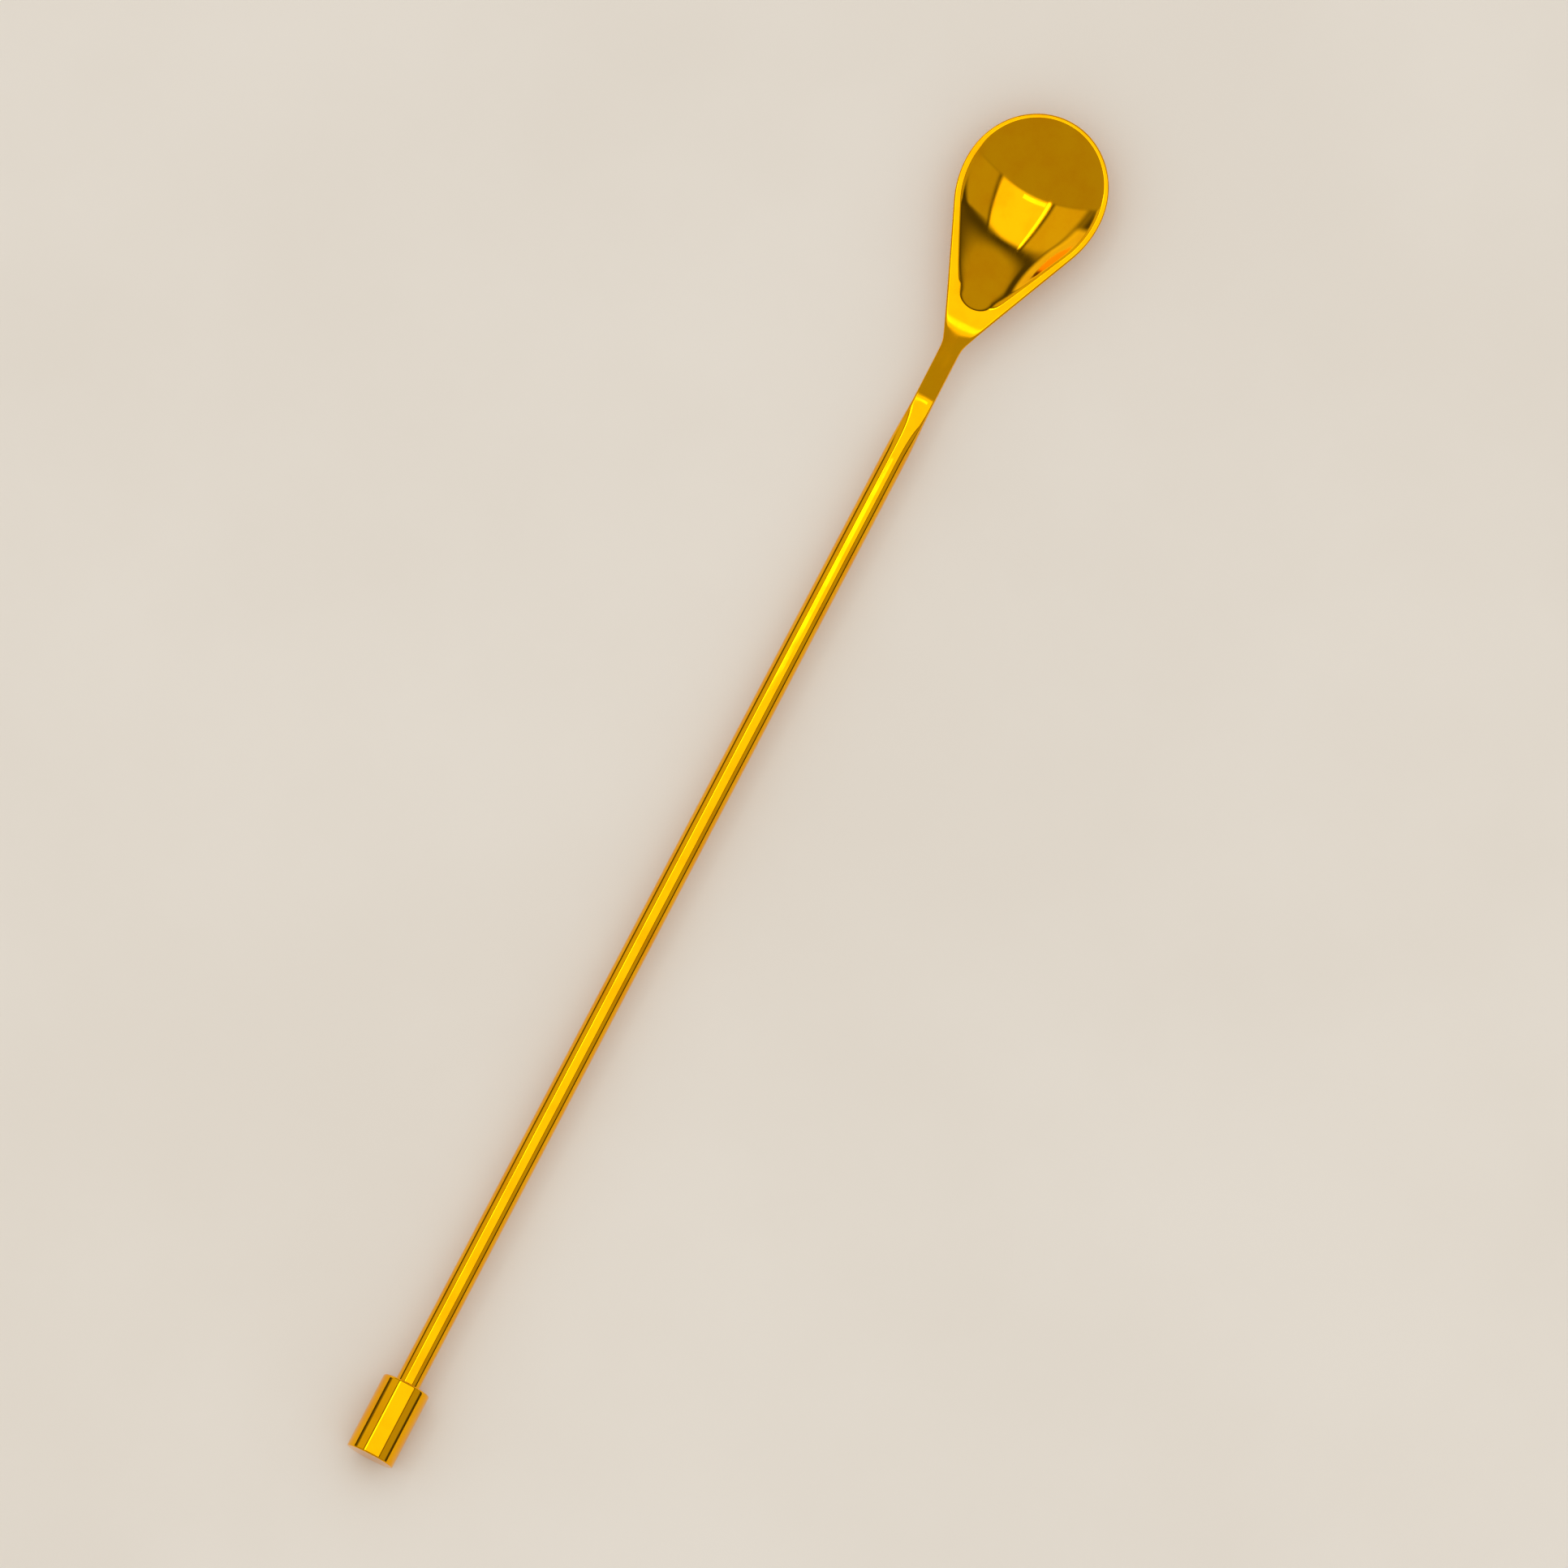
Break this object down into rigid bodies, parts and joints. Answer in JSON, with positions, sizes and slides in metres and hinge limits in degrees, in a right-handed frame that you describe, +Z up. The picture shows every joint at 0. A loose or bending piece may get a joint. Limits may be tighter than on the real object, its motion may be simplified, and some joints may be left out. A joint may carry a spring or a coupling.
{
  "type": "bar spoon",
  "caption": "Long bar spoon with a slender round stem, a deep teardrop bowl on a raised flat neck, and a small cylindrical muddler cap on the other end.",
  "frame": {"origin": "on the table under the middle of the spoon's length, where it lies bowl up", "axes": "+X along the stem to the bowl's tip, +Y across the bowl, +Z up out of the open bowl"},
  "size_m": [0.3, 0.0298, 0.01],
  "materials": {
    "gold_metal": "polished, gold coloured coating"
  },
  "bodies": {
    "root": {"bowl": "gold_metal", "stem": "gold_metal", "muddler_cap": "gold_metal"}
  },
  "joints": []
}
